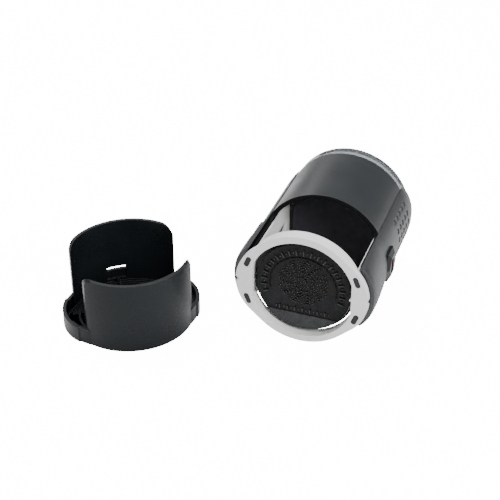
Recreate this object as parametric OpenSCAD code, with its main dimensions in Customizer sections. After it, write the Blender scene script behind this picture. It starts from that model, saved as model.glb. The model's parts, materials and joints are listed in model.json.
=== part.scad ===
// Round self-inking seal stamp lying on its side, pressed down and locked, with its loose
// dust cap standing beside it.
// Stamp frame: ring face at z = 0, z up the stamp, x from ear to ear, y towards the floor.
// The whole stamp is then laid down so that its ring face looks towards -Y.

/* [Die] */
// radius of the round printing die
die_r = 20; // [14:0.5:26]
// how far the rubber's face sits inside the ring's face
die_recess = 2.5; // [0.5:0.1:4]
// thickness of the rubber die with its relief
rubber_h = 2.1; // [1.6:0.1:3]
// depth of the relief cut into the rubber
relief_h = 0.7; // [0.3:0.1:1]
// thickness of the foam mounting tape
tape_h = 0.7; // [0.3:0.1:1.5]
// thickness of the die carrier plate
carrier_h = 2.2; // [1.6:0.1:4]
// radius of the axle pins
axle_r = 2; // [1.5:0.1:2.5]

/* [Base ring] */
// play between the die's edge and the ring's opening
opening_gap = 1.9; // [1.4:0.1:4]
// width of the ring's band
ring_band = 2.9; // [2:0.1:5]
// depth of the ring
ring_h = 5.2; // [4:0.1:8]
// thickness of the ears
ear_h = 2.6; // [2.2:0.1:3.2]
// how far the ears stand out past the round ring
ear_out = 3; // [1.5:0.1:5]
// length of each rubber foot
foot_len = 5; // [3:0.1:7]
// width of each rubber foot
foot_w = 2.2; // [1.4:0.1:2.8]

/* [Inner frame] */
// thickness of the two cheeks
cheek_t = 1.5; // [1.2:0.1:2]
// half the width of each cheek
cheek_half = 11; // [9:0.5:12]
// thickness of the deck above the ink tray
deck_h = 1.6; // [1.2:0.1:3]

/* [Ink tray] */
// height of the ink tray
tray_h = 6.2; // [5.4:0.1:10]
// thickness of the felt ink pad
pad_h = 4.6; // [3:0.1:4.8]

/* [Housing] */
// stroke of the housing from pressed to released
travel = 37; // [34:0.5:50]
// play between the ring's edge and the housing's outside
shell_step = 2; // [1.4:0.1:4]
// wall thickness of the housing
shell_wall = 1.9; // [1.4:0.1:2.3]
// height of the arch windows above the ring face
arch_z = 31.2; // [26:0.2:36]
// corner radius of the arch windows
arch_r = 3; // [2:0.5:8]
// half the width of the side legs
leg_half = 11.8; // [11.5:0.1:13]
// half the width of the side grips
grip_half = 13.6; // [13:0.1:14]
// height of the legs' feet above the ring face
leg_z = 7.5; // [5.8:0.1:9]
// height of the grips' feet above the ring face
grip_z = 3.2; // [3:0.1:5]
// height of the compressed return spring's space
spring_space = 7; // [6.2:0.1:10]
// thickness of the side grips
grip_t = 2.35; // [2:0.05:4]

/* [Lock buttons] */
// height of the buttons above the ring face
button_z = 30; // [26:0.5:38]
// how far a button presses in
button_press = 1.5; // [1:0.1:1.5]
// corner-to-centre size of the hexagonal bezel
bezel_r = 7.6; // [7.2:0.1:9]

/* [Top window] */
// height of the clear top window
window_h = 6.6; // [5:0.1:12]
// wall of the clear top window
window_t = 2; // [1.4:0.1:2.2]

/* [Dust cap] */
// height of the cap's two curved walls
cap_h = 32; // [20:0.5:45]
// thickness of the cap's walls
cap_t = 1.5; // [1:0.1:2]
// height of the rim around the cap's ears
cap_rim = 7; // [4:0.5:12]
// half the angle that each curved wall spans
cap_angle = 58.4; // [45:0.2:65]
// turn of the cap beside the stamp
cap_yaw = 39.6; // [0:0.2:90]
// distance of the cap's middle left of the stamp's middle
cap_left = 73.5; // [70:0.5:100]
// distance of the cap's middle in front of the ring's face
cap_front = 3.6; // [-40:0.2:40]

/* [Hidden] */
$fn = 72;
body_gap = 0.3;      // air between pieces that move against each other
seat_gap = 0.05;     // air between pieces fixed to each other
run_fit = 0.05;      // running fit of the axle pins
eps = 0.01;
past = 40;           // length that cuts run past the part

// radii, from the die outwards
opening_r = die_r + opening_gap;
ring_r = opening_r + ring_band;
shell_r = ring_r + shell_step;
shell_in = shell_r - shell_wall;
opening_half = die_r + 0.8;
ear_shift = 8.8;
ear_r = ring_r + ear_out - ear_shift;
ear_reach = ear_shift + ear_r;

// heights, from the rubber's face upwards
tape_z = die_recess + rubber_h;
carrier_z = tape_z + tape_h;
axle_z = carrier_z + carrier_h + 0.1;
pad_z = 2 * axle_z + travel - die_recess + body_gap;
tray_z = pad_z + 0.4;
tray_top = tray_z + tray_h;
deck_z = tray_top + body_gap;
deck_top = deck_z + deck_h;
yoke_z = deck_top + spring_space;
yoke_t = 1.4;
roof_z = yoke_z + yoke_t + body_gap;
roof_h = 2;
shell_top = roof_z + roof_h;
window_z = shell_top + seat_gap;
window_top = window_z + window_h;

// inner frame and yoke, outwards from the die
cheek_x = die_r + 1.2;
cheek_out = cheek_x + cheek_t;
arm_x = cheek_out + body_gap;
arm_t = 1.2;
arm_out = arm_x + arm_t;
arm_half = 4.6;
rail_lo = 6;
rail_hi = 10.5;
frame_r = shell_in - 0.4;
foot_depth = 1.6;
foot_x = ring_r - 2.1;
foot_y = 8.9;
notch_x = ear_reach - 1.4;

// die and its axle
carrier_r = opening_r - 0.4;
carrier_half = cheek_x - 0.5;
tape_r = die_r - 0.3;
tape_off = [0.55, 0.75, 0];
die_off = 0.5;
hub_r = 3.2;
hub_in = die_r - 2.6;
hub_out = cheek_x - body_gap;
field_cut = 13.6 * die_r / 20;
rim_out = die_r - 0.5;
rim_w = 0.6;
dash_n = 40;
dash_mid = die_r - 3.2;
dash_len = 1.8;
dash_w = 0.7;
dot_r = 0.55;
dot_step = 2.3;

// ink tray and pad
tray_half = cheek_x - 0.2;
tray_r = shell_in - 1.3;
pad_half = die_r - 0.4;
pad_r = die_r + 0.4;
rail_in = cheek_x - 0.9;
rail_z = tray_z + 1.6;
rail_t = 0.8;

// springs
coil_r = 13;
coil_wire = 0.5;
coil_n = 5;
boss_r = coil_r - coil_wire - 0.7;
boss_h = 1.4;
seat_r = coil_r + 2.5;

// grips, bezels and buttons
grip_in = shell_r + seat_gap;
grip_out = grip_in + grip_t;
grip_shift = 9;      // the grips' outer face is rounded about a line this far off the middle
grip_swell = 0.9;    // how far the grips' feet flare out
grip_waist = 0.25;   // how far the grips draw in beside the buttons
grip_top = window_top - 0.15;
grip_arc = 31;
face_r = grip_out - grip_shift;
dimple_rows = 5;
dimple_cols = 6;
dimple_pitch = 4;
dimple_r = 1.3;
dimple_top = shell_top - 5.7;
dimple_out = 0.1;
bezel_root = shell_r + 0.1;
bezel_in = grip_out - 1.15;
bezel_out = grip_out + 1;
bezel_edge = 2.3;
bezel_lean = 30;
bezel_z = button_z + 1;
well_r = 4.9;
flange_r = 4.5;
flange_t = 0.8;
flange_x = bezel_in - body_gap - flange_t;
face_x = bezel_out - 0.5;
tip_x = cheek_out + 0.4;
oval_len = 3.6;
oval_r = 1.5;
tip_play = 0.3;
push_r = 4;
push_wire = 0.2;

// top window and card
spigot_r = shell_r - 2.8;
spigot_h = 2;
spigot_wall = 2;
window_r = shell_r - 0.5;
window_in = spigot_r + body_gap;
card_r = spigot_r - 0.5;
card_t = 0.35;

// dust cap
cap_r = shell_r - 0.5;
cap_ear_r = cap_r + ear_out - ear_shift;
cap_floor = 1.6;
cap_half = cap_r * sin(cap_angle);
cap_corner = 3.5;
cap_step_y = 11.3;
cap_step = 0.6;
slit_half = 4.35;
slit_z = 7.5;
slit_h = 1.5;
latch_z = 3;
rib_r = 22.6 * cap_r / 26.3;
rib_w = 0.8;
rib_h = 0.9;
ear_rib_len = 13.9;
ear_rib_x = cap_r - 4.2;
ear_rib_y = 10.8;
ear_rib_turn = 40.3;

// places in the row's frame: origin at the middle of the underside of everything
cap_reach_x = max(cap_r, ear_shift * cos(cap_yaw) + cap_ear_r);
cap_reach_y = max(cap_r, ear_shift * sin(cap_yaw) + cap_ear_r);
left_end = -cap_left - cap_reach_x;
front_end = min(0, -cap_front - cap_reach_y);
ring_x = -(left_end + bezel_out) / 2;
ring_y = -(front_end + max(window_top, cap_reach_y - cap_front)) / 2;

white = [0.8, 0.81, 0.8];
black = [0.09, 0.1, 0.11];
steel = [0.7, 0.71, 0.73];

module at_stamp() translate([ring_x, ring_y, shell_r]) rotate([-90, 0, 0]) children();
module at_cap() translate([ring_x - cap_left, ring_y - cap_front, 0]) rotate([0, 0, cap_yaw]) children();

// round disc and square block between two heights
module disc(r, z0, z1) translate([0, 0, z0]) cylinder(r = r, h = z1 - z0);
module block(x0, x1, y0, y1, z0, z1) translate([x0, y0, z0]) cube([x1 - x0, y1 - y0, z1 - z0]);
// round rod along x
module rod(r, x0, x1, y, z) translate([x0, y, z]) rotate([0, 90, 0]) cylinder(r = r, h = x1 - x0);
// a shape drawn in y and z, pulled along x
module along_x(x0, x1, z) translate([x0, 0, z]) rotate([90, 0, 90]) linear_extrude(x1 - x0) children();
module stadium(len, r) {
    square([len, 2 * r], center = true);
    for (s = [-1, 1]) translate([s * len / 2, 0]) circle(r);
}
// one piece on each side of the stamp
module both_sides() {
    children();
    mirror([1, 0, 0]) children();
}

// round outline with two ears joined to it by straight tangents
module eared(r, ear, shift) {
    lean = acos((r - ear) / shift);
    tx = cos(lean);
    ty = sin(lean);
    circle(r);
    for (side = [0, 1]) mirror([side, 0]) {
        translate([shift, 0]) circle(ear);
        polygon([[0, 0], [r * tx, r * ty], [shift + ear * tx, ear * ty], [shift, 0],
            [shift + ear * tx, -ear * ty], [r * tx, -r * ty]]);
    }
}

module foot_places() for (sx = [-1, 1], sy = [-1, 1])
    translate([sx * foot_x, sy * foot_y, 0]) rotate([0, 0, atan2(sy * foot_y, sx * foot_x) + 90]) children();

module base_ring() color(white) at_stamp() {
    difference() {
        union() {
            linear_extrude(ear_h) eared(ring_r, ear_r, ear_shift);
            disc(ring_r, 0, ring_h);
        }
        translate([0, 0, -past / 2]) linear_extrude(past) intersection() {
            circle(opening_r);
            square([2 * opening_half, 2 * opening_r + 1], center = true);
        }
        both_sides() {
            block(opening_half - eps, past, -cheek_half - 0.3, cheek_half + 0.3, ear_h, past);
            translate([notch_x, 0, -past / 2]) rotate([0, 0, -45]) cube([4, 4, past]);
        }
        foot_places() translate([0, 0, -eps]) linear_extrude(foot_depth + eps)
            stadium(foot_len - foot_w, foot_w / 2);
    }
    // small tick in the middle of each inner flat
    both_sides() block(opening_half - 0.7, opening_half + eps, -0.4, 0.4, 0, 1.4);
}

module rubber_feet() color([0.2, 0.21, 0.22]) at_stamp() foot_places()
    linear_extrude(foot_depth - seat_gap) stadium(foot_len - foot_w, foot_w / 2 - seat_gap);

module inner_frame() color(white) at_stamp() difference() {
    union() {
        intersection() {
            disc(frame_r, ear_h + seat_gap, deck_top);
            union() {
                both_sides() {
                    block(cheek_x, cheek_out, -cheek_half, cheek_half, 0, deck_top);
                    for (s = [-1, 1]) block(cheek_x, past, min(s * rail_lo, s * rail_hi),
                        max(s * rail_lo, s * rail_hi), 0, deck_top);
                    block(rail_in, cheek_x + eps, -cheek_half, cheek_half, rail_z, rail_z + rail_t);
                }
                disc(frame_r, deck_z, deck_top);
            }
        }
        disc(boss_r, deck_z, deck_top + boss_h);
    }
    both_sides() {
        // slot in which the die's axle pin rides
        for (z = [axle_z, axle_z + travel]) rod(axle_r + tip_play, cheek_x - 0.5, past, 0, z);
        block(cheek_x - 0.5, past, -axle_r - tip_play, axle_r + tip_play, axle_z, axle_z + travel);
        // hole that takes the pressed button's tip
        along_x(cheek_x - 0.5, past, button_z) stadium(oval_len, oval_r + tip_play);
        // room for the yoke's arms beside the deck
        block(cheek_out, past, -rail_lo, rail_lo, ear_h, past * 2);
    }
    disc(boss_r - 2, 0, past * 2);
}

module pad_outline(play) intersection() {
    circle(pad_r + play);
    square([2 * (pad_half + play), 2 * pad_r + 4], center = true);
}

module ink_tray() color(black) at_stamp() difference() {
    intersection() {
        disc(tray_r, tray_z, tray_top);
        block(-tray_half, tray_half, -past, past, tray_z, tray_top);
    }
    translate([0, 0, tray_z - eps]) linear_extrude(pad_z + pad_h - tray_z + seat_gap + eps)
        pad_outline(seat_gap);
    both_sides() block(rail_in - 0.2, past, -past, past, rail_z - 0.2, rail_z + rail_t + 0.2);
}

module ink_pad() color([0.05, 0.05, 0.06]) at_stamp() translate([0, 0, pad_z])
    linear_extrude(pad_h) pad_outline(0);

module housing_shell() color(black) at_stamp() difference() {
    union() {
        disc(shell_r, leg_z, shell_top);
        disc(spigot_r, shell_top - eps, shell_top + spigot_h);
    }
    disc(shell_in, 0, roof_z);
    disc(spigot_r - spigot_wall, shell_top, past * 2);
    // arch windows, front and back
    for (side = [0, 1]) mirror([0, side, 0]) {
        block(-past, past, leg_half + arch_r, past, 0, arch_z);
        block(-past, past, leg_half, leg_half + arch_r + eps, 0, arch_z - arch_r);
        rod(arch_r, -past, past, leg_half + arch_r, arch_z - arch_r);
    }
    both_sides() rod(well_r, shell_in - 2, past, 0, button_z);
}

// hexagonal plug on the grip's face, its corners up and down the stamp
module hex_plug(x0, x1, r) along_x(x0, x1, bezel_z)
    polygon([for (i = [0 : 5]) r * [cos(60 * i + 30), sin(60 * i + 30)]]);

module grip_body() difference() {
    intersection() {
        translate([grip_shift, 0, 0]) rotate_extrude() polygon([[0, grip_z],
            [face_r + grip_swell - 0.6, grip_z], [face_r + grip_swell - 0.1, grip_z + 1.5],
            [face_r + grip_swell, grip_z + 6], [face_r + grip_swell - 0.1, grip_z + 11],
            [face_r + grip_swell / 2, button_z - 10], [face_r, button_z - 5],
            [face_r - grip_waist, button_z], [face_r - grip_waist, shell_top - 3],
            [face_r - 2 * grip_waist, shell_top + 1.3], [face_r - 1.1, grip_top - 1.7],
            [face_r - 1.7, grip_top], [0, grip_top]]);
        block(0, past, -grip_half, grip_half, 0, past * 2);
        // top end rounded across
        union() {
            block(0, past, -past, past, 0, grip_top - grip_arc);
            rod(grip_arc, 0, past, 0, grip_top - grip_arc);
        }
    }
    disc(grip_in, 0, past * 2);
    hex_plug(0, past, bezel_r + seat_gap);
    // grid of grip dimples
    for (row = [0 : dimple_rows - 1], col = [0 : dimple_cols - 1])
        translate([grip_shift, 0, dimple_top - row * dimple_pitch])
            rotate([0, 0, asin((col - (dimple_cols - 1) / 2) * dimple_pitch / face_r)])
                translate([face_r - grip_waist + dimple_out, 0, 0]) sphere(dimple_r, $fn = 24);
}

module side_grip_left() color(black) at_stamp() mirror([1, 0, 0]) grip_body();
module side_grip_right() color(black) at_stamp() grip_body();

module bezel_body() difference() {
    hex_plug(bezel_root, bezel_out, bezel_r);
    rod(well_r, 0, bezel_in, 0, button_z);
    // bevelled rim
    for (i = [0 : 5]) translate([bezel_out, 0, bezel_z]) rotate([60 * i, 0, 0])
        translate([0, bezel_r * cos(30) - bezel_edge, 0]) rotate([0, 0, bezel_lean])
            translate([0, -past / 2, -bezel_r]) cube([past, past, 2 * bezel_r]);
    along_x(0, past, button_z) stadium(oval_len, oval_r + tip_play);
}

module button_bezel_left() color([0.05, 0.05, 0.06]) at_stamp() mirror([1, 0, 0]) bezel_body();
module button_bezel_right() color([0.05, 0.05, 0.06]) at_stamp() bezel_body();

module button_body() {
    along_x(tip_x, face_x, button_z) stadium(oval_len, oval_r);
    rod(flange_r, flange_x, flange_x + flange_t, 0, button_z);
}

module lock_button_left() color([0.75, 0.12, 0.1]) at_stamp() mirror([1, 0, 0]) button_body();
module lock_button_right() color([0.75, 0.12, 0.1]) at_stamp() button_body();

// stack of wire turns joined by short links on alternate sides
module coil(r, wire, turns, height) {
    pitch = (height - 2 * wire) / (turns - 1);
    for (i = [0 : turns - 1]) translate([0, 0, wire + i * pitch]) rotate_extrude()
        translate([r, 0]) circle(wire, $fn = 24);
    for (i = [0 : turns - 2]) rotate([0, 0, 180 * i]) translate([r, 0, wire + i * pitch])
        cylinder(r = wire, h = pitch, $fn = 24);
}

module push_coil() translate([arm_out + seat_gap, 0, button_z]) rotate([0, 90, 0])
    coil(push_r, push_wire, 3, flange_x - arm_out - 2 * seat_gap);

module button_spring_left() color(steel) at_stamp() rotate([0, 0, 180]) push_coil();
module button_spring_right() color(steel) at_stamp() push_coil();

module die_bridge() color(steel) at_stamp() difference() {
    union() {
        disc(seat_r, yoke_z, yoke_z + yoke_t);
        block(-arm_out, arm_out, -arm_half, arm_half, yoke_z, yoke_z + yoke_t);
        both_sides() {
            block(arm_x, arm_out, -arm_half, arm_half, axle_z, yoke_z + yoke_t);
            rod(arm_half, arm_x, arm_out, 0, axle_z);
        }
    }
    both_sides() {
        rod(axle_r + run_fit, 0, past, 0, axle_z);
        along_x(0, past, button_z) stadium(oval_len, oval_r + tip_play);
    }
}

module return_spring() color(steel) at_stamp() translate([0, 0, deck_top + seat_gap])
    coil(coil_r, coil_wire, coil_n, spring_space - 2 * seat_gap);

module index_card() color([0.86, 0.87, 0.86]) at_stamp()
    disc(card_r, shell_top + spigot_h + seat_gap, shell_top + spigot_h + seat_gap + card_t);

module top_window() color([0.8, 0.85, 0.88, 0.5]) at_stamp() difference() {
    disc(window_r, window_z, window_top);
    disc(window_in, 0, window_top - window_t);
}

module die_carrier() color([0.2, 0.21, 0.22]) at_stamp() difference() {
    union() {
        intersection() {
            disc(carrier_r, carrier_z, carrier_z + carrier_h);
            block(-carrier_half, carrier_half, -past, past, 0, past);
        }
        intersection() {
            both_sides() rod(hub_r, hub_in, hub_out, 0, axle_z);
            block(-past, past, -past, past, carrier_z + eps, past);
        }
    }
    both_sides() rod(axle_r + seat_gap, hub_in - 1, past, 0, axle_z);
}

module axle_pin() rod(axle_r, hub_in - 0.9, arm_out, 0, axle_z);
module die_axle_left() color(steel) at_stamp() mirror([1, 0, 0]) axle_pin();
module die_axle_right() color(steel) at_stamp() axle_pin();

module mounting_tape() color([0.85, 0.85, 0.84]) at_stamp() translate(tape_off)
    disc(tape_r, tape_z + seat_gap, carrier_z - seat_gap);

module rubber_die() color([0.07, 0.07, 0.08]) at_stamp() translate([0, die_off, 0]) {
    disc(die_r, die_recess + relief_h, tape_z);
    // relief: rim, ring of dashes, rosette of dots and a row of bars
    intersection() {
        disc(die_r, die_recess, die_recess + relief_h + eps);
        block(-past, past, -past, field_cut, 0, past);
        union() {
            difference() {
                disc(rim_out, 0, past);
                disc(rim_out - rim_w, -1, past + 1);
            }
            for (i = [0 : dash_n - 1]) rotate([0, 0, i * 360 / dash_n])
                block(dash_mid - dash_len / 2, dash_mid + dash_len / 2, -dash_w / 2, dash_w / 2, 0, past);
            for (ring = [0 : 4], i = [0 : max(0, 6 * ring - 1)])
                rotate([0, 0, i * 60 / max(1, ring)]) translate([ring * dot_step, 0, 0])
                    cylinder(r = dot_r, h = past, $fn = 16);
            for (i = [-3 : 3]) block(i * 2.2 - 0.7, i * 2.2 + 0.7, field_cut - 2.6, field_cut - 1, 0, past);
        }
    }
}

module cap_outline(inset) {
    circle(cap_r - inset);
    intersection() {
        eared(cap_r - inset, cap_ear_r - inset, ear_shift);
        square([past * 2, 2 * (cap_step_y - inset)], center = true);
    }
    eared(cap_r - inset - cap_step, cap_ear_r - inset - cap_step, ear_shift);
}

// front view of the two curved walls, their top corners rounded
module wall_profile() {
    translate([-cap_half + cap_corner, 0]) square([2 * (cap_half - cap_corner), cap_h]);
    translate([-cap_half, 0]) square([2 * cap_half, cap_h - cap_corner]);
    for (s = [-1, 1]) translate([s * (cap_half - cap_corner), cap_h - cap_corner]) circle(cap_corner);
}

module dust_cap() color(black) at_cap() difference() {
    union() {
        linear_extrude(cap_floor) cap_outline(0);
        linear_extrude(cap_rim) difference() {
            cap_outline(0);
            cap_outline(cap_t);
        }
        difference() {
            intersection() {
                disc(cap_r, 0, cap_h);
                translate([0, past, 0]) rotate([90, 0, 0]) linear_extrude(2 * past) wall_profile();
            }
            disc(cap_r - cap_t, -1, past * 2);
        }
        // ribs on the floor: a circle, a short cross rib and one across each corner of the ears
        difference() {
            disc(rib_r, cap_floor - eps, cap_floor + rib_h);
            disc(rib_r - rib_w, 0, past);
        }
        block(-rib_w / 2, rib_w / 2, rib_r - 2, cap_r - cap_t + eps, cap_floor - eps, cap_floor + 2 * rib_h);
        for (sx = [0, 1], sy = [0, 1]) mirror([sx, 0, 0]) mirror([0, sy, 0])
            translate([ear_rib_x, ear_rib_y, 0]) rotate([0, 0, ear_rib_turn])
                block(-rib_w / 2, rib_w / 2, -ear_rib_len / 2, ear_rib_len / 2, 0, cap_floor + rib_h);
    }
    // slit and latch recess low in the back wall
    block(-slit_half, slit_half, 0, past, slit_z, slit_z + slit_h);
    intersection() {
        disc(cap_r - cap_t + 0.6, latch_z, slit_z - 0.4);
        block(-slit_half, slit_half, 0, past, latch_z, slit_z);
    }
}

base_ring();
rubber_feet();
inner_frame();
ink_tray();
ink_pad();
housing_shell();
side_grip_left();
side_grip_right();
button_bezel_left();
button_bezel_right();
lock_button_left();
lock_button_right();
button_spring_left();
button_spring_right();
die_bridge();
return_spring();
index_card();
top_window();
die_carrier();
die_axle_left();
die_axle_right();
mounting_tape();
rubber_die();
dust_cap();
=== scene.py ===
"""Looks of the round self-inking seal stamp and its loose dust cap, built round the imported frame."""

import json
import logging
import math
from dataclasses import dataclass, field
from enum import Enum
from typing import ClassVar

import bmesh
import bpy
from mathutils import Matrix, Vector

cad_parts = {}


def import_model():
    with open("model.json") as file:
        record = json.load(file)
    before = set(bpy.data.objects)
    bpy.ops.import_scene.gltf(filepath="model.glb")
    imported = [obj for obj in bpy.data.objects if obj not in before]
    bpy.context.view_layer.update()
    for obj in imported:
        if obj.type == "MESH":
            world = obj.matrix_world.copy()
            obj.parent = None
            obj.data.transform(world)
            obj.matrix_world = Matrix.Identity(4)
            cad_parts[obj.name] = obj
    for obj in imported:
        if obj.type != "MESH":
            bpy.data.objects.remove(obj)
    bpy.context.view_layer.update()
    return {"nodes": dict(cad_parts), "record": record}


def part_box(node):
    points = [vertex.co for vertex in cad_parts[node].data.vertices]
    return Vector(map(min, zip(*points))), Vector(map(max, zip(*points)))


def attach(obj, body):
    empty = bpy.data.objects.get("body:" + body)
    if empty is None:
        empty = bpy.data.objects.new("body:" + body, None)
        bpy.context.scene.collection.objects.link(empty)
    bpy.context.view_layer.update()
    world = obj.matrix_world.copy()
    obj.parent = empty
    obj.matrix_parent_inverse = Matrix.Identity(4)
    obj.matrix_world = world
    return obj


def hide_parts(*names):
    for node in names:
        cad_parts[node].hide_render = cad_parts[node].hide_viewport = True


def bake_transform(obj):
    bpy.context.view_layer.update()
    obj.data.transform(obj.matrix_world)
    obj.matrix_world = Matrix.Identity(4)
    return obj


log = logging.getLogger("stamp")

MM = 0.001
FULL_TURN = 2 * math.pi
SHARP_FROM = math.radians(38)
MERGE = 0.002 * MM
FLAT_WITHIN = math.radians(0.5)

DARK = (0.014, 0.016, 0.018)
# lighter colour for edges: partly scuffs, partly a painted highlight along the rims
SCUFF_AND_RIM_SHEEN = (0.09, 0.095, 0.1)
WHITE = (1, 1, 1, 1)


class Side(Enum):
    """Side of the stamp that a piece is on, as the sign of its place along X."""

    LEFT = -1
    RIGHT = 1


class Surface(Enum):
    """How the skin of a moulded piece was textured."""

    SATIN = "satin"
    GLOSS = "gloss"
    CHALKY = "chalky"


@dataclass(frozen=True)
class Graph:
    """Short-hand for building one material's node tree."""

    tree: bpy.types.NodeTree
    # colour sockets of Blender's Mix node, which share their names with its other sockets
    MIX_FIRST: ClassVar[int] = 6
    MIX_SECOND: ClassVar[int] = 7
    MIX_RESULT: ClassVar[int] = 2

    def add(self, kind: str, **settings: object) -> bpy.types.Node:
        """Adds a node.

        Args:
            kind: Blender's name of the node type.
            settings: attributes to set on the node.

        Returns:
            The new node.
        """
        node = self.tree.nodes.new(kind)
        for name, value in settings.items():
            setattr(node, name, value)
        return node

    def join(self, source: bpy.types.NodeSocket, target: bpy.types.NodeSocket) -> None:
        """Joins an output to an input."""
        self.tree.links.new(source, target)

    def noise(self, scale: float, detail: float, rough: float = 0.5) -> bpy.types.NodeSocket:
        """Adds noise on Object coordinates.

        Args:
            scale: cells per metre.
            detail: octaves.
            rough: how strong the fine octaves are.

        Returns:
            The noise's factor output.
        """
        place = self.add("ShaderNodeTexCoord")
        noise = self.add("ShaderNodeTexNoise")
        noise.inputs["Scale"].default_value = scale
        noise.inputs["Detail"].default_value = detail
        noise.inputs["Roughness"].default_value = rough
        self.join(place.outputs["Object"], noise.inputs["Vector"])
        return noise.outputs["Fac"]

    def spread(self, value: bpy.types.NodeSocket, low: float, high: float,
               to_low: float, to_high: float) -> bpy.types.NodeSocket:
        """Maps a value from one range to another.

        Args:
            value: the input value.
            low: start of the range read.
            high: end of the range read.
            to_low: result at low.
            to_high: result at high.

        Returns:
            The mapped value.
        """
        node = self.add("ShaderNodeMapRange")
        self.join(value, node.inputs["Value"])
        limits = {"From Min": low, "From Max": high, "To Min": to_low, "To Max": to_high}
        for name, number in limits.items():
            node.inputs[name].default_value = number
        return node.outputs["Result"]

    def blend(self, amount: bpy.types.NodeSocket, first: tuple, second: tuple) -> bpy.types.NodeSocket:
        """Mixes two colours.

        Args:
            amount: 0 for the first colour, 1 for the second.
            first: RGB of the first colour.
            second: RGB of the second colour.

        Returns:
            The mixed colour.
        """
        node = self.add("ShaderNodeMix", data_type="RGBA")
        self.join(amount, node.inputs["Factor"])
        node.inputs[self.MIX_FIRST].default_value = (*first, 1)
        node.inputs[self.MIX_SECOND].default_value = (*second, 1)
        return node.outputs[self.MIX_RESULT]

    def bumps(self, height: bpy.types.NodeSocket, strength: float, depth: float,
              before: bpy.types.NodeSocket | None = None) -> bpy.types.NodeSocket:
        """Turns heights into a bent normal.

        Args:
            height: the height value, 0 to 1.
            strength: share of the bend applied.
            depth: depth of the relief, in metres.
            before: normal to bend further.

        Returns:
            The bent normal.
        """
        node = self.add("ShaderNodeBump")
        node.inputs["Strength"].default_value = strength
        node.inputs["Distance"].default_value = depth
        self.join(height, node.inputs["Height"])
        if before is not None:
            self.join(before, node.inputs["Normal"])
        return node.outputs["Normal"]


def new_material(name: str) -> tuple[bpy.types.Material, Graph, bpy.types.Node]:
    """Makes an empty node material.

    Args:
        name: the material's name.

    Returns:
        The material, its graph and its Principled shader.
    """
    material = bpy.data.materials.new(name)
    material.use_nodes = True
    graph = Graph(material.node_tree)
    shader = material.node_tree.nodes["Principled BSDF"]
    return material, graph, shader


@dataclass(frozen=True)
class Plastic:
    """Moulded plastic with a spark-eroded skin, faint mottling and edges lightened in patches, partly by
    scuffs and partly by a painted highlight along the rims.
    """

    name: str
    colour: tuple
    worn_and_sheen: tuple
    surface: Surface = Surface.SATIN
    rough: float = 0.4
    grain: float = 9000.0
    grain_depth: float = 0.02 * MM
    edge: float = 0.25 * MM
    shine: float = 0.5
    rub_and_sheen: float = 0.6
    cloud_scale: float = 60.0
    dust_scale: float = 1400.0
    skin_share: float = 0.15
    rough_range: float = 0.08
    gloss_range: float = 0.05
    coat_rough: float = 0.06
    glow_share: float = 0.12
    glow_depth: float = 0.6 * MM

    def build(self) -> bpy.types.Material:
        """Builds the material."""
        material, graph, shader = new_material(self.name)
        clouds = graph.noise(self.cloud_scale, 4)
        corner = graph.add("ShaderNodeBevel", samples=4)
        corner.inputs["Radius"].default_value = self.edge
        lighter = tuple(c * 1.25 + 0.003 for c in self.colour)
        # edges take the second colour: partly scuffs, partly a painted rim highlight
        wear_and_sheen = graph.add("ShaderNodeMix", data_type="RGBA")
        graph.join(self.rubbed_and_sheen(graph, corner), wear_and_sheen.inputs["Factor"])
        graph.join(graph.blend(clouds, self.colour, lighter), wear_and_sheen.inputs[graph.MIX_FIRST])
        wear_and_sheen.inputs[graph.MIX_SECOND].default_value = (*self.worn_and_sheen, 1)
        graph.join(wear_and_sheen.outputs[graph.MIX_RESULT], shader.inputs["Base Color"])
        spread = self.gloss_range if self.surface is Surface.GLOSS else self.rough_range
        roughness = graph.spread(clouds, 0.2, 0.8, self.rough - spread, self.rough + spread)
        graph.join(roughness, shader.inputs["Roughness"])
        grain = graph.noise(self.grain, 2)
        skin = graph.bumps(grain, self.skin_share, self.grain_depth, corner.outputs["Normal"])
        graph.join(skin, shader.inputs["Normal"])
        shader.inputs["Specular IOR Level"].default_value = self.shine
        if self.surface is Surface.GLOSS:
            shader.inputs["Coat Weight"].default_value = self.shine
            shader.inputs["Coat Roughness"].default_value = self.coat_rough
        if self.surface is Surface.CHALKY:
            shader.inputs["Subsurface Weight"].default_value = self.glow_share
            shader.inputs["Subsurface Radius"].default_value = (1, 1, 1)
            shader.inputs["Subsurface Scale"].default_value = self.glow_depth
        return material

    def rubbed_and_sheen(self, graph: Graph, corner: bpy.types.Node) -> bpy.types.NodeSocket:
        """Finds the edges, which are lightened in patches: partly scuffs, partly a painted highlight along
        the rims.

        Args:
            graph: the material's graph.
            corner: the Bevel node, whose normal turns away from the face's at an edge.

        Returns:
            How far a place is lightened by scuffs and painted rim highlight, from 0.
        """
        dust = graph.noise(self.dust_scale, 3, 0.7)
        plain = graph.add("ShaderNodeNewGeometry")
        facing = graph.add("ShaderNodeVectorMath", operation="DOT_PRODUCT")
        graph.join(corner.outputs["Normal"], facing.inputs[0])
        graph.join(plain.outputs["Normal"], facing.inputs[1])
        patchy = graph.add("ShaderNodeMath", operation="MULTIPLY")
        graph.join(graph.spread(facing.outputs["Value"], 1.0, 0.8, 0.0, self.rub_and_sheen), patchy.inputs[0])
        graph.join(graph.spread(dust, 0.35, 0.65, 0.2, 1), patchy.inputs[1])
        return patchy.outputs["Value"]


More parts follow.
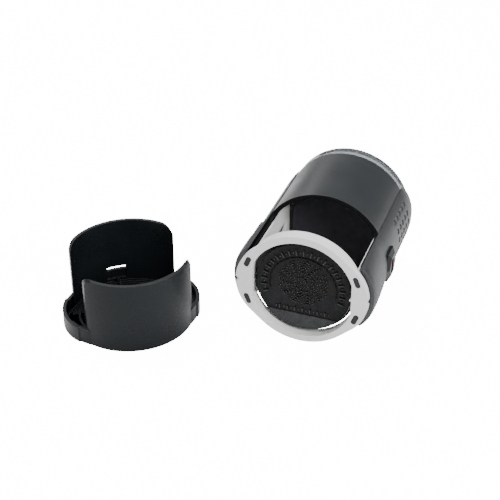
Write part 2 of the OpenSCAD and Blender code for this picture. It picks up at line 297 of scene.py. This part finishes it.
@dataclass(frozen=True)
class Rubber:
    """Soft rubber with patches of ink at random."""

    name: str
    colour: tuple
    inked: tuple
    rough: float = 0.38
    pitted: float = 0.06 * MM
    shine: float = 0.5
    stain_scale: float = 350.0
    pit_scale: float = 2600.0
    pit_share: float = 0.6

    def build(self) -> bpy.types.Material:
        """Builds the material."""
        material, graph, shader = new_material(self.name)
        stains = graph.noise(self.stain_scale, 5, 0.65)
        inked = graph.blend(graph.spread(stains, 0.38, 0.62, 0, 1), self.colour, self.inked)
        graph.join(inked, shader.inputs["Base Color"])
        roughness = graph.spread(stains, 0.35, 0.65, self.rough - 0.12, self.rough + 0.2)
        graph.join(roughness, shader.inputs["Roughness"])
        pits = graph.noise(self.pit_scale, 4, 0.6)
        graph.join(graph.bumps(pits, self.pit_share, self.pitted), shader.inputs["Normal"])
        shader.inputs["Specular IOR Level"].default_value = self.shine
        return material


@dataclass(frozen=True)
class Steel:
    """Rolled or drawn steel, brushed along the stamp."""

    name: str
    colour: tuple
    rough: float = 0.28
    stretch: tuple = (900, 60, 900)
    line_scale: float = 9.0
    line_depth: float = 0.03 * MM
    line_share: float = 0.3

    def build(self) -> bpy.types.Material:
        """Builds the material."""
        material, graph, shader = new_material(self.name)
        place = graph.add("ShaderNodeTexCoord")
        along = graph.add("ShaderNodeMapping")
        along.inputs["Scale"].default_value = self.stretch
        lines = graph.add("ShaderNodeTexNoise")
        lines.inputs["Scale"].default_value = self.line_scale
        lines.inputs["Detail"].default_value = 3.0
        graph.join(place.outputs["Object"], along.inputs["Vector"])
        graph.join(along.outputs["Vector"], lines.inputs["Vector"])
        brushed = lines.outputs["Fac"]
        darker = tuple(c * 0.72 for c in self.colour)
        graph.join(graph.blend(brushed, darker, self.colour), shader.inputs["Base Color"])
        roughness = graph.spread(brushed, 0.3, 0.7, self.rough - 0.08, self.rough + 0.12)
        graph.join(roughness, shader.inputs["Roughness"])
        graph.join(graph.bumps(brushed, self.line_share, self.line_depth), shader.inputs["Normal"])
        shader.inputs["Metallic"].default_value = 1.0
        return material


@dataclass(frozen=True)
class Clear:
    """Clear moulded plastic with faint flow marks and a little haze."""

    name: str
    tint: tuple
    flow_scale: float = 90.0
    flow_share: float = 0.2
    flow_depth: float = 0.05 * MM
    haze_scale: float = 1100.0
    clearness: float = 0.92
    refraction: float = 1.45

    def build(self) -> bpy.types.Material:
        """Builds the material."""
        material, graph, shader = new_material(self.name)
        flow = graph.noise(self.flow_scale, 3)
        haze = graph.noise(self.haze_scale, 4, 0.7)
        darker = tuple(c * 0.96 for c in self.tint)
        graph.join(graph.blend(flow, self.tint, darker), shader.inputs["Base Color"])
        graph.join(graph.spread(haze, 0.3, 0.7, 0.03, 0.16), shader.inputs["Roughness"])
        graph.join(graph.bumps(flow, self.flow_share, self.flow_depth), shader.inputs["Normal"])
        shader.inputs["Transmission Weight"].default_value = self.clearness
        shader.inputs["IOR"].default_value = self.refraction
        return material


@dataclass(frozen=True)
class Fibre:
    """Felt, card or foam: matt, with a fine random nap."""

    name: str
    colour: tuple
    fleck: tuple
    nap: float = 2200.0
    depth: float = 0.08 * MM
    patch_scale: float = 120.0
    nap_share: float = 0.7
    sheen: float = 0.25

    def build(self) -> bpy.types.Material:
        """Builds the material."""
        material, graph, shader = new_material(self.name)
        hairs = graph.noise(self.nap, 6, 0.8)
        patches = graph.noise(self.patch_scale, 3)
        mixed = graph.add("ShaderNodeMath", operation="MULTIPLY")
        graph.join(hairs, mixed.inputs[0])
        graph.join(graph.spread(patches, 0.3, 0.7, 0.7, 1.3), mixed.inputs[1])
        flecked = graph.blend(mixed.outputs["Value"], self.colour, self.fleck)
        graph.join(flecked, shader.inputs["Base Color"])
        graph.join(graph.spread(hairs, 0.3, 0.7, 0.8, 0.98), shader.inputs["Roughness"])
        graph.join(graph.bumps(hairs, self.nap_share, self.depth), shader.inputs["Normal"])
        shader.inputs["Sheen Weight"].default_value = self.sheen
        return material


@dataclass
class Palette:
    """Every finish of the stamp and its cap, built once."""

    shell: bpy.types.Material = field(init=False)
    painted_shade_lining: bpy.types.Material = field(init=False)
    grip: bpy.types.Material = field(init=False)
    bezel: bpy.types.Material = field(init=False)
    cap: bpy.types.Material = field(init=False)
    white: bpy.types.Material = field(init=False)
    tray: bpy.types.Material = field(init=False)
    red: bpy.types.Material = field(init=False)
    foot: bpy.types.Material = field(init=False)
    die: bpy.types.Material = field(init=False)
    die_marks: bpy.types.Material = field(init=False)
    die_blank: bpy.types.Material = field(init=False)
    felt: bpy.types.Material = field(init=False)
    tape: bpy.types.Material = field(init=False)
    card: bpy.types.Material = field(init=False)
    clear: bpy.types.Material = field(init=False)
    spring: bpy.types.Material = field(init=False)
    yoke: bpy.types.Material = field(init=False)

    def __post_init__(self) -> None:
        """Builds the finishes."""
        # each plastic's second colour lightens its edges: partly scuffs, partly a painted rim highlight
        self.shell = Plastic("housing_satin_black", DARK, SCUFF_AND_RIM_SHEEN,
                             rough=0.36, edge=0.4 * MM, shine=0.55).build()
        # the lining's darker colour is painted shade on the faces that don't look outwards; its higher
        # roughness is the finish
        self.painted_shade_lining = Plastic("housing_lining_black", (0.004, 0.0045, 0.005), SCUFF_AND_RIM_SHEEN,
                              rough=0.6, shine=0.1, rub_and_sheen=0.1).build()
        self.grip = Plastic("grip_satin_black", DARK, SCUFF_AND_RIM_SHEEN,
                            rough=0.42, grain=5200, grain_depth=0.05 * MM, shine=0.6).build()
        self.bezel = Plastic("bezel_gloss_black", (0.004, 0.005, 0.006), SCUFF_AND_RIM_SHEEN, Surface.GLOSS,
                             rough=0.32, shine=0.12, rub_and_sheen=0.3).build()
        self.cap = Plastic("cap_satin_black", (0.005, 0.0065, 0.008), SCUFF_AND_RIM_SHEEN,
                           rough=0.3, edge=0.35 * MM, shine=0.16, rub_and_sheen=0.9).build()
        self.white = Plastic("ring_white", (0.63, 0.655, 0.63), (0.78, 0.79, 0.77), Surface.CHALKY,
                             rough=0.42, edge=0.35 * MM).build()
        self.tray = Plastic("tray_black", (0.008, 0.008, 0.009), SCUFF_AND_RIM_SHEEN, rough=0.5, shine=0.3).build()
        self.red = Plastic("button_red", (0.42, 0.012, 0.016), (0.6, 0.1, 0.1),
                           rough=0.45, edge=0.4 * MM, shine=0.1).build()
        self.foot = Rubber("foot_rubber", (0.012, 0.014, 0.015), (0.022, 0.024, 0.026),
                           rough=0.6, shine=0.3).build()
        self.die = Rubber("die_rubber", (0.0035, 0.0037, 0.0045), (0.006, 0.0062, 0.007),
                          rough=0.45, shine=0.16).build()
        self.die_marks = Rubber("die_relief_rubber", (0.004, 0.004, 0.005), (0.007, 0.007, 0.008),
                                rough=0.26, pitted=0.03 * MM, shine=0.45).build()
        self.die_blank = Rubber("die_blank_rubber", (0.022, 0.023, 0.025), (0.042, 0.044, 0.046),
                                rough=0.75, pitted=0.12 * MM, shine=0.3).build()
        self.felt = Fibre("ink_felt", (0.006, 0.006, 0.01), (0.03, 0.03, 0.045)).build()
        self.tape = Fibre("foam_tape", (0.36, 0.36, 0.34), (0.5, 0.5, 0.48),
                          nap=3000, depth=0.05 * MM).build()
        self.card = Fibre("index_card", (0.5, 0.51, 0.5), (0.62, 0.63, 0.62),
                          nap=1500, depth=0.02 * MM).build()
        self.clear = Clear("window_clear", (0.6, 0.63, 0.65)).build()
        self.spring = Steel("spring_steel", (0.62, 0.62, 0.63), rough=0.22, stretch=(300, 300, 300)).build()
        self.yoke = Steel("yoke_steel", (0.55, 0.56, 0.57)).build()


@dataclass
class Layout:
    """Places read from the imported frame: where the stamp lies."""

    nodes: dict
    slots: dict
    stamp: Matrix = field(init=False)

    def __post_init__(self) -> None:
        """Reads the places."""
        ring_low, ring_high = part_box("base_ring")
        shell_low, shell_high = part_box("housing_shell")
        across = (ring_low.x + ring_high.x) / 2
        up = (shell_low.z + shell_high.z) / 2
        middle = Vector((across, ring_low.y, up))
        self.stamp = Matrix.Translation(middle) @ Matrix.Rotation(-math.pi / 2, 4, "X")

    def span(self, node: str) -> tuple[Vector, Vector]:
        """Reads a node's box in the stamp's own frame.

        Args:
            node: name of the CAD node.

        Returns:
            Its lowest and highest corner, in metres.
        """
        corners = [self.stamp.inverted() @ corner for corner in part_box(node)]
        low = Vector([min(pair) for pair in zip(*corners)])
        high = Vector([max(pair) for pair in zip(*corners)])
        return low, high


def place_mesh(name: str, bm: bmesh.types.BMesh, material: bpy.types.Material,
               to: Matrix | None = None) -> bpy.types.Object:
    """Turns a bmesh into an object at the origin with its place in its mesh.

    Args:
        name: the object's name.
        bm: the bmesh, which is freed.
        material: the finish.
        to: transform into the row's frame.

    Returns:
        The new object.
    """
    if to is not None:
        bmesh.ops.transform(bm, matrix=to, verts=bm.verts)
    bmesh.ops.recalc_face_normals(bm, faces=bm.faces)
    for face in bm.faces:
        face.smooth = True
    mesh = bpy.data.meshes.new(name)
    bm.to_mesh(mesh)
    bm.free()
    mesh.set_sharp_from_angle(angle=SHARP_FROM)
    mesh.materials.append(material)
    piece = bpy.data.objects.new(name, mesh)
    bpy.context.scene.collection.objects.link(piece)
    return piece


def rounded_copy(layout: Layout, node: str, body: str, material: bpy.types.Material,
                 radius: float, angle: float = 28.0, segments: int = 3) -> bpy.types.Object:
    """Copies a CAD node and rounds its moulded edges.

    Args:
        layout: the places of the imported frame.
        node: name of the CAD node that the piece stands for.
        body: CAD body that it rides on.
        material: the finish.
        radius: edge radius in metres.
        angle: edges sharper than this many degrees are rounded.
        segments: facets across each rounded edge.

    Returns:
        The rounded piece.
    """
    bm = bmesh.new()
    bm.from_mesh(layout.nodes[node].data)
    bmesh.ops.remove_doubles(bm, verts=bm.verts, dist=MERGE)
    bmesh.ops.dissolve_limit(bm, angle_limit=FLAT_WITHIN, verts=bm.verts, edges=bm.edges)
    for face in bm.faces:
        face.smooth = True
    mesh = bpy.data.meshes.new(f"{node}_look")
    bm.to_mesh(mesh)
    bm.free()
    mesh.materials.append(material)
    piece = bpy.data.objects.new(f"{node}_look", mesh)
    bpy.context.scene.collection.objects.link(piece)
    edges = piece.modifiers.new("rounded_edges", "BEVEL")
    edges.width = radius
    edges.segments = segments
    edges.limit_method = "ANGLE"
    edges.angle_limit = math.radians(angle)
    edges.use_clamp_overlap = True
    edges.miter_outer = "MITER_ARC"
    even = piece.modifiers.new("even_normals", "WEIGHTED_NORMAL")
    even.weight = 100
    even.keep_sharp = True
    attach(piece, body)
    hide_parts(node)
    log.info("%s: rounded by %.2f mm", piece.name, radius / MM)
    return piece


def wound_wire(name: str, material: bpy.types.Material, coil_r: float, wire_r: float, turns: int,
               height: float, to: Matrix, sides: int = 12) -> bpy.types.Object:
    """Winds a helical spring with closed, ground ends.

    Args:
        name: the object's name.
        material: the finish.
        coil_r: radius of the coil's middle line.
        wire_r: radius of the wire.
        turns: number of turns.
        height: full height of the spring.
        to: transform into the row's frame.
        sides: facets round the wire.

    Returns:
        The spring.
    """
    bm = bmesh.new()
    start = Matrix.Translation((coil_r, 0, wire_r)) @ Matrix.Rotation(math.pi / 2, 4, "X")
    bmesh.ops.create_circle(bm, cap_ends=True, segments=sides, radius=wire_r, matrix=start)
    steps = 40 * turns
    rise = (height - 2 * wire_r) / steps
    bmesh.ops.spin(bm, geom=bm.faces[:] + bm.edges[:] + bm.verts[:], cent=(0, 0, 0), axis=(0, 0, 1),
                   angle=FULL_TURN * turns, steps=steps, dvec=(0, 0, rise))
    bmesh.ops.remove_doubles(bm, verts=bm.verts, dist=1e-7)
    return place_mesh(name, bm, material, to)


@dataclass
class Foundation:
    """The white foot ring with its rubber feet and the white inner frame above it."""

    layout: Layout
    palette: Palette
    ring_edge: float = 0.35 * MM
    frame_edge: float = 0.2 * MM
    foot_edge: float = 0.25 * MM

    def build(self) -> None:
        """Builds the pieces of the resting frame."""
        looks = self.palette
        rounded_copy(self.layout, "base_ring", "frame", looks.white, self.ring_edge)
        rounded_copy(self.layout, "inner_frame", "frame", looks.white, self.frame_edge, segments=2)
        rounded_copy(self.layout, "rubber_feet", "frame", looks.foot, self.foot_edge)
        rounded_copy(self.layout, "ink_tray", "frame", looks.tray, self.frame_edge, segments=2)
        rounded_copy(self.layout, "ink_pad", "frame", looks.felt, self.ring_edge)


@dataclass
class Housing:
    """The black housing that the hand presses, with its grips, bezels, yoke and card."""

    layout: Layout
    palette: Palette
    shell_edge: float = 0.22 * MM
    grip_edge: float = 0.25 * MM
    facing: float = 0.5
    bezel_edge: float = 0.3 * MM
    bridge_edge: float = 0.2 * MM
    card_edge: float = 0.1 * MM

    def build(self) -> None:
        """Builds the pieces that ride on the housing."""
        looks = self.palette
        self.line(rounded_copy(self.layout, "housing_shell", "housing", looks.shell, self.shell_edge))
        for side in Side:
            word = side.name.lower()
            rounded_copy(self.layout, f"side_grip_{word}", "housing", looks.grip, self.grip_edge, angle=40)
            rounded_copy(self.layout, f"button_bezel_{word}", "housing", looks.bezel, self.bezel_edge,
                         angle=24)
        rounded_copy(self.layout, "die_bridge", "housing", looks.yoke, self.bridge_edge, segments=2)
        rounded_copy(self.layout, "index_card", "housing", looks.card, self.card_edge, segments=1)

    def line(self, shell: bpy.types.Object) -> None:
        """Gives the faces that don't look outwards the duller finish of the lining and its darker colour,
        which is painted shade.

        Args:
            shell: the housing's visible piece.
        """
        shell.data.materials.append(self.palette.painted_shade_lining)
        painted_shade_lining = len(shell.data.materials) - 1
        inwards = self.layout.stamp.inverted()
        for face in shell.data.polygons:
            place = inwards @ face.center
            outwards = Vector((place.x, place.y, 0)).normalized()
            if outwards.dot(inwards.to_3x3() @ face.normal) < self.facing:
                # painted shade: these faces take the darker lining colour
                face.material_index = painted_shade_lining


@dataclass
class LockButton:
    """A red oval lock button and the push spring behind it."""

    layout: Layout
    palette: Palette
    side: Side
    edge: float = 0.45 * MM
    wire_r: float = 0.2 * MM
    turns: int = 3

    def build(self) -> None:
        """Builds the button and its spring."""
        word = self.side.name.lower()
        rounded_copy(self.layout, f"lock_button_{word}", f"button_{word}", self.palette.red, self.edge)
        self.spring(word)

    def spring(self, word: str) -> None:
        """Winds the push spring between the yoke's arm and the button's flange.

        Args:
            word: the side's name in the names of the nodes.
        """
        node = f"button_spring_{word}"
        low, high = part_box(node)
        inner, outer = (low.x, high.x) if self.side is Side.RIGHT else (high.x, low.x)
        middle = (low + high) / 2
        start, end = (inner, middle.y, middle.z), (outer, middle.y, middle.z)
        to = Matrix.Translation(start) @ Matrix.Rotation(self.side.value * math.pi / 2, 4, "Y")
        coil_r = (high.z - low.z) / 2 - self.wire_r
        spring = wound_wire(f"{node}_look", self.palette.spring, coil_r, self.wire_r, self.turns,
                            abs(outer - inner), to, sides=8)
        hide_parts(node)
        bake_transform(spring)


@dataclass
class ReturnSpring:
    """The main spring between the inner frame's deck and the yoke."""

    layout: Layout
    palette: Palette
    wire_r: float = 0.5 * MM
    turns: int = 5

    def build(self) -> None:
        """Winds the spring where the CAD spring stands."""
        low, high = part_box("return_spring")
        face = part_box("base_ring")[0].y
        to = self.layout.stamp @ Matrix.Translation((0, 0, low.y - face))
        coil_r = (high.x - low.x) / 2 - self.wire_r
        spring = wound_wire("return_spring_look", self.palette.spring, coil_r, self.wire_r, self.turns,
                            high.y - low.y, to)
        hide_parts("return_spring")
        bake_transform(spring)


@dataclass
class TopWindow:
    """The clear cap over the index card."""

    layout: Layout
    palette: Palette
    edge: float = 0.6 * MM

    def build(self) -> None:
        """Builds the window."""
        rounded_copy(self.layout, "top_window", "window", self.palette.clear, self.edge, segments=4)


@dataclass
class Relief:
    """Raised marks of a generic pattern, built into one bmesh in the stamp's own frame."""

    bm: bmesh.types.BMesh
    floor: float
    rise: float
    fine_step: float = math.radians(6)
    coarse_step: float = math.radians(24)
    fine_from: float = 3 * MM

    def at(self, x: float, y: float, turn: float = 0.0) -> Matrix:
        """Makes the transform to a place on the relief's floor."""
        return Matrix.Translation((x, y, self.floor)) @ Matrix.Rotation(turn, 4, "Z")

    def bar(self, x: float, y: float, length: float, width: float, turn: float) -> None:
        """Raises a bar with rounded edges.

        Args:
            x: place of its middle across the stamp.
            y: place of its middle towards the floor.
            length: its length.
            width: its width.
            turn: direction of its length.
        """
        size = Matrix.Diagonal((length, width, 2 * self.rise, 1))
        made = bmesh.ops.create_cube(self.bm, size=1.0, matrix=self.at(x, y, turn) @ size)
        edges = list({edge for vert in made["verts"] for edge in vert.link_edges})
        bmesh.ops.bevel(self.bm, geom=edges, offset=0.3 * min(width, self.rise), segments=2,
                        profile=0.5, affect="EDGES", material=-1)

    def bead(self, x: float, y: float, radius: float, share: float = 1.0) -> None:
        """Raises a round bead.

        Args:
            x: place across the stamp.
            y: place towards the floor.
            radius: its radius.
            share: share of the full relief that it reaches.
        """
        size = Matrix.Diagonal((radius, radius, self.rise * share, 1))
        bmesh.ops.create_icosphere(self.bm, subdivisions=2, radius=1.0, matrix=self.at(x, y) @ size)

    def arc(self, x: float, y: float, radius: float, start: float, sweep: float, width: float) -> None:
        """Raises a curved ridge.

        Args:
            x: place of its centre across the stamp.
            y: place of its centre towards the floor.
            radius: radius of its middle line.
            start: direction of its first end.
            sweep: angle it runs through.
            width: its width.
        """
        place = self.at(x, y, start)
        end = place @ Matrix.Translation((radius, 0, 0)) @ Matrix.Rotation(math.pi / 2, 4, "X")
        ring = bmesh.ops.create_circle(self.bm, cap_ends=True, segments=8, radius=1.0,
                                       matrix=end @ Matrix.Diagonal((width / 2, self.rise, 1, 1)))
        faces = list({face for vert in ring["verts"] for face in vert.link_faces})
        closed = abs(sweep) > FULL_TURN - 0.01
        if closed:
            bmesh.ops.delete(self.bm, geom=faces, context="FACES_ONLY")
            faces = []
        edges = list({edge for vert in ring["verts"] for edge in vert.link_edges})
        step = self.fine_step if radius > self.fine_from else self.coarse_step
        bmesh.ops.spin(self.bm, geom=faces + edges + ring["verts"], cent=place.translation, axis=(0, 0, 1),
                       angle=sweep, steps=max(6, round(abs(sweep) / step)), use_merge=closed)


@dataclass
class Die:
    """The turning die: carrier, axle pins, mounting tape and the rubber with its generic relief."""

    layout: Layout
    palette: Palette
    relief: float = 0.7 * MM
    edge: float = 0.2 * MM
    tape_edge: float = 0.1 * MM
    rim_sides: int = 128
    field_cut: float = 13.6 * MM
    cut_lean: float = 0.02
    blank_share: float = 0.8
    marks_share: float = 0.9
    # beaded edging
    edging_in: float = 3.5 * MM
    edging_marks: int = 41
    edging_from: float = 164.0
    edging_sweep: float = 212.0
    edging_bead: float = 0.5 * MM
    edging_bar: tuple = (2.5 * MM, 0.55 * MM)
    ridge_in: float = 2.3 * MM
    ridge_from: float = 168.0
    ridge_sweep: float = 204.0
    ridge_width: float = 0.3 * MM
    # spiral rosette
    rosette_marks: int = 300
    rosette_r: float = 10.6 * MM
    rosette_up: float = 2.2 * MM
    rosette_bar: tuple = (1.0 * MM, 0.32 * MM)
    rosette_bead: tuple = (0.28 * MM, 0.1 * MM)
    # row of strokes along the blank segment
    row_half: int = 7
    row_step: float = 1.6 * MM
    row_up: float = 2.1 * MM
    row_bead: float = 0.48 * MM
    row_bar: tuple = (1.9 * MM, 0.55 * MM)

    def build(self) -> None:
        """Builds the pieces that turn with the die."""
        looks = self.palette
        rounded_copy(self.layout, "die_carrier", "die", looks.tray, self.edge, segments=2)
        for side in Side:
            node = f"die_axle_{side.name.lower()}"
            rounded_copy(self.layout, node, "die", looks.yoke, self.edge, segments=2)
        rounded_copy(self.layout, "mounting_tape", "die", looks.tape, self.tape_edge, segments=1)
        low, high = self.layout.span("rubber_die")
        radius = (high.x - low.x) / 2
        middle = (low.y + high.y) / 2
        self.place(self.plate(low, high, radius, middle), "die_plate", looks.die)
        self.place(self.marks(low, radius, middle), "die_relief", looks.die_marks)
        self.place(self.blank(low, radius, middle), "die_blank", looks.die_blank)

    def place(self, bm: bmesh.types.BMesh, name: str, material: bpy.types.Material) -> None:
        """Places one piece of the rubber on the die's body.

        Args:
            bm: the piece in the stamp's frame, which is freed.
            name: the piece's name.
            material: the finish.
        """
        piece = place_mesh(name, bm, material, self.layout.stamp)
        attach(piece, "die")
        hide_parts("rubber_die")
        log.info("%s: %d faces", name, len(piece.data.polygons))

    def sheet(self, radius: float, depth: float, middle: float, height: float) -> bmesh.types.BMesh:
        """Builds a plain round sheet.

        Args:
            radius: its radius.
            depth: its thickness.
            middle: how far its middle lies towards the floor.
            height: height of its middle up the stamp.

        Returns:
            The sheet.
        """
        bm = bmesh.new()
        bmesh.ops.create_cone(bm, cap_ends=True, cap_tris=False, segments=self.rim_sides, radius1=radius,
                              radius2=radius, depth=depth, matrix=Matrix.Translation((0, middle, height)))
        return bm

    def soften(self, bm: bmesh.types.BMesh, edges: list, segments: int) -> None:
        """Rounds edges of the rubber.

        Args:
            bm: the piece.
            edges: the edges to round.
            segments: facets across each rounded edge.
        """
        bmesh.ops.bevel(bm, geom=edges, offset=self.edge, segments=segments,
                        profile=0.5, affect="EDGES", material=-1)

    def plate(self, low: Vector, high: Vector, radius: float, middle: float) -> bmesh.types.BMesh:
        """Builds the rubber's plate, a round sheet with soft edges.

        Args:
            low: lowest corner of the rubber, in the stamp's frame.
            high: its highest corner.
            radius: its radius.
            middle: how far its middle lies towards the floor.

        Returns:
            The plate.
        """
        floor = low.z + self.relief
        bm = self.sheet(radius, high.z - floor, middle, (high.z + floor) / 2)
        rims = [edge for edge in bm.edges if abs(edge.verts[0].co.z - edge.verts[1].co.z) < MERGE]
        self.soften(bm, rims, 3)
        return bm

    def blank(self, low: Vector, radius: float, middle: float) -> bmesh.types.BMesh:
        """Builds the blank segment of uncut rubber next to the pattern.

        Args:
            low: lowest corner of the rubber, in the stamp's frame.
            radius: its radius.
            middle: how far its middle lies towards the floor.

        Returns:
            The segment.
        """
        rise = self.relief * self.blank_share
        bm = self.sheet(radius - self.edge / 2, 2 * rise, middle, low.z + self.relief)
        whole = bm.verts[:] + bm.edges[:] + bm.faces[:]
        bmesh.ops.bisect_plane(bm, geom=whole, plane_co=(0, self.field_cut, 0),
                               plane_no=(self.cut_lean, -1, 0), clear_outer=True)
        rim = [edge for edge in bm.edges if edge.is_boundary]
        bmesh.ops.contextual_create(bm, geom=rim)
        corners = [edge for edge in bm.edges if edge.calc_face_angle(0.0) > math.radians(40)]
        self.soften(bm, corners, 2)
        return bm

    def marks(self, low: Vector, radius: float, middle: float) -> bmesh.types.BMesh:
        """Builds the raised marks: an edging of strokes and beads, a rosette and a row of strokes.

        Args:
            low: lowest corner of the rubber, in the stamp's frame.
            radius: its radius.
            middle: how far its middle lies towards the floor.

        Returns:
            The marks.
        """
        bm = bmesh.new()
        relief = Relief(bm, low.z + self.relief, self.relief * self.marks_share)
        self.edging(relief, radius, middle)
        self.rosette(relief, middle)
        self.row(relief)
        return bm

    def edging(self, relief: Relief, radius: float, middle: float) -> None:
        """Sets radial strokes with a bead between them round the pattern's upper side.

        Args:
            relief: the marks made so far.
            radius: the rubber's radius.
            middle: how far its middle lies towards the floor.
        """
        track = radius - self.edging_in
        length, width = self.edging_bar
        for i in range(self.edging_marks):
            turn = math.radians(self.edging_from + self.edging_sweep * i / (self.edging_marks - 1))
            x, y = track * math.cos(turn), middle + track * math.sin(turn)
            if i % 2:
                relief.bead(x, y, self.edging_bead, 0.9)
            else:
                relief.bar(x, y, length, width, turn)
        relief.arc(0, middle, track - self.ridge_in, math.radians(self.ridge_from),
                   math.radians(self.ridge_sweep), self.ridge_width)

    def rosette(self, relief: Relief, middle: float) -> None:
        """Fills the middle with a round sunflower spiral of fine beads and short strokes.

        Args:
            relief: the marks made so far.
            middle: how far the rubber's middle lies towards the floor.
        """
        golden = math.pi * (3 - math.sqrt(5))
        length, width = self.rosette_bar
        size, change = self.rosette_bead
        for i in range(2, self.rosette_marks):
            reach = self.rosette_r * math.sqrt(i / self.rosette_marks)
            turn = golden * i
            x, y = reach * math.cos(turn), middle - self.rosette_up + reach * math.sin(turn)
            if i % 5 == 0:
                relief.bar(x, y, length, width, turn + math.pi / 2)
            else:
                relief.bead(x, y, size + change * math.sin(i * 1.7), 0.75 + 0.2 * math.sin(i * 2.3))

    def row(self, relief: Relief) -> None:
        """Sets a row of short strokes and beads along the blank segment.

        Args:
            relief: the marks made so far.
        """
        line = self.field_cut - self.row_up
        length, width = self.row_bar
        for i in range(-self.row_half, self.row_half + 1):
            if i % 2:
                relief.bead(i * self.row_step, line, self.row_bead, 0.9)
            else:
                relief.bar(i * self.row_step, line, length, width, math.pi / 2)


@dataclass
class DustCap:
    """The loose dust cap, standing open side up."""

    layout: Layout
    palette: Palette
    edge: float = 0.4 * MM

    def build(self) -> None:
        """Builds the cap."""
        rounded_copy(self.layout, "dust_cap", "cap", self.palette.cap, self.edge)


@dataclass(frozen=True)
class Lamp:
    """One soft square light of the studio."""

    name: str
    size: float
    power: float
    at: tuple
    towards: tuple = (0, 0, 0)

    def hang(self) -> None:
        """Hangs the light."""
        data = bpy.data.lights.new(self.name, "AREA")
        data.shape = "SQUARE"
        data.size = self.size
        data.energy = self.power
        lamp = bpy.data.objects.new(self.name, data)
        lamp.location = self.at
        away = Vector(self.at) - Vector(self.towards)
        lamp.rotation_euler = away.to_track_quat("Z", "Y").to_euler()
        bpy.context.scene.collection.objects.link(lamp)


@dataclass
class Studio:
    """Pale floor, soft lights and the camera."""

    layout: Layout
    azimuth: float = math.radians(19.566)
    elevation: float = math.radians(32.865)
    distance: float = 524.0 * MM
    aim_left: float = 32.747 * MM
    aim_up: float = 31.523 * MM
    aim_height: float = 20.0 * MM
    lens: float = 87.44
    sensor: float = 36.0
    near: float = 0.01
    floor_half: float = 1.6
    floor_glow: float = 14.0
    floor_dark: tuple = (0.93, 0.93, 0.93)
    floor_light: tuple = (0.97, 0.97, 0.97)
    surround: float = 0.3
    lamps: tuple = (
        Lamp("overhead", 0.55, 7.5, (-0.2, 0.1, 0.72)),
        Lamp("left_sheet", 0.5, 1.0, (-0.8, -0.1, 0.45), (0, 0, 0.02)),
        Lamp("right_sheet", 0.35, 9.5, (0.7, -0.35, 0.5), (0, 0, 0.02)),
        Lamp("back_sheet", 0.5, 1.3, (-0.55, 0.6, 0.5), (0, 0, 0.03)),
    )

    def build(self) -> None:
        """Builds floor, world, lights and camera."""
        self.floor()
        self.world()
        for lamp in self.lamps:
            lamp.hang()
        self.camera()

    def floor(self) -> None:
        """Lays the floor, which glows for the camera only."""
        bm = bmesh.new()
        bmesh.ops.create_grid(bm, x_segments=2, y_segments=2, size=self.floor_half)
        material, graph, shader = new_material("paper_floor")
        tone = graph.blend(graph.noise(40, 3), self.floor_dark, self.floor_light)
        graph.join(tone, shader.inputs["Base Color"])
        shader.inputs["Roughness"].default_value = 0.9
        seen = graph.add("ShaderNodeLightPath").outputs["Is Camera Ray"]
        graph.join(graph.spread(seen, 0, 1, 0, self.floor_glow), shader.inputs["Emission Strength"])
        shader.inputs["Emission Color"].default_value = WHITE
        place_mesh("floor", bm, material)

    def world(self) -> None:
        """Sets a plain pale surrounding."""
        world = bpy.data.worlds.new("surround")
        world.use_nodes = True
        background = world.node_tree.nodes["Background"]
        background.inputs["Color"].default_value = WHITE
        background.inputs["Strength"].default_value = self.surround
        bpy.context.scene.world = world

    def camera(self) -> None:
        """Sets the camera up, aimed from the place of the stamp."""
        back = Vector((math.sin(self.azimuth) * math.cos(self.elevation),
                       -math.cos(self.azimuth) * math.cos(self.elevation), math.sin(self.elevation)))
        data = bpy.data.cameras.new("camera")
        data.lens = self.lens
        data.sensor_width = self.sensor
        data.clip_start = self.near
        camera = bpy.data.objects.new("camera", data)
        ring = self.layout.stamp.translation
        aim = ring + Vector((-self.aim_left, self.aim_up, self.aim_height - ring.z))
        camera.location = aim + back * self.distance
        camera.rotation_euler = back.to_track_quat("Z", "Y").to_euler()
        bpy.context.scene.collection.objects.link(camera)
        bpy.context.scene.camera = camera


def main() -> None:
    """Builds every piece in order."""
    logging.basicConfig(level=logging.INFO, format="%(message)s")
    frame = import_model()
    slots = {part["node"]: part["material_slot"] for part in frame["record"]["subparts"]}
    layout = Layout(frame["nodes"], slots)
    palette = Palette()
    Foundation(layout, palette).build()
    Housing(layout, palette).build()
    for side in Side:
        LockButton(layout, palette, side).build()
    ReturnSpring(layout, palette).build()
    TopWindow(layout, palette).build()
    Die(layout, palette).build()
    DustCap(layout, palette).build()
    Studio(layout).build()
    bpy.context.view_layer.update()


if __name__ == "__main__":
    main()
